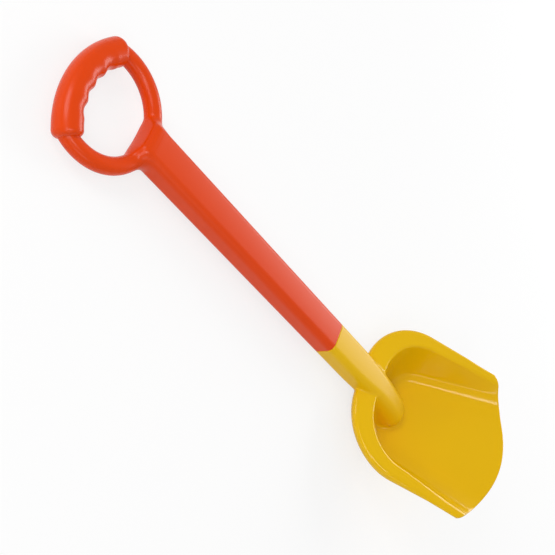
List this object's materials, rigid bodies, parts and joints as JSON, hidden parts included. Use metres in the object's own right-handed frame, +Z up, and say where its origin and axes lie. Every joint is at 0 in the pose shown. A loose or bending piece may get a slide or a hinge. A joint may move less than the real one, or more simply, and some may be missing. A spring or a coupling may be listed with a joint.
{
  "type": "sand shovel",
  "caption": "Long-handled child's sand shovel: a hollow shaft with a ring grip and finger hollows, push-fitted into a deep scoop with a flat turned-down rim.",
  "frame": {"origin": "middle of the bounding box on the ground, where the shovel lies on its grip and on the scoop's heel", "axes": "+X from the grip to the scoop's front edge, +Y to the left side, +Z up with the scoop's open side up"},
  "size_m": [0.5499, 0.1518, 0.083],
  "materials": {
    "handle_orange": "injection-moulded plastic, glossy on the ring and grip and satin on the shaft",
    "scoop_yellow": "injection-moulded plastic, glossy in the bowl and satin on the shaft end"
  },
  "bodies": {
    "root": {"handle": "handle_orange", "scoop": "scoop_yellow"}
  },
  "joints": []
}
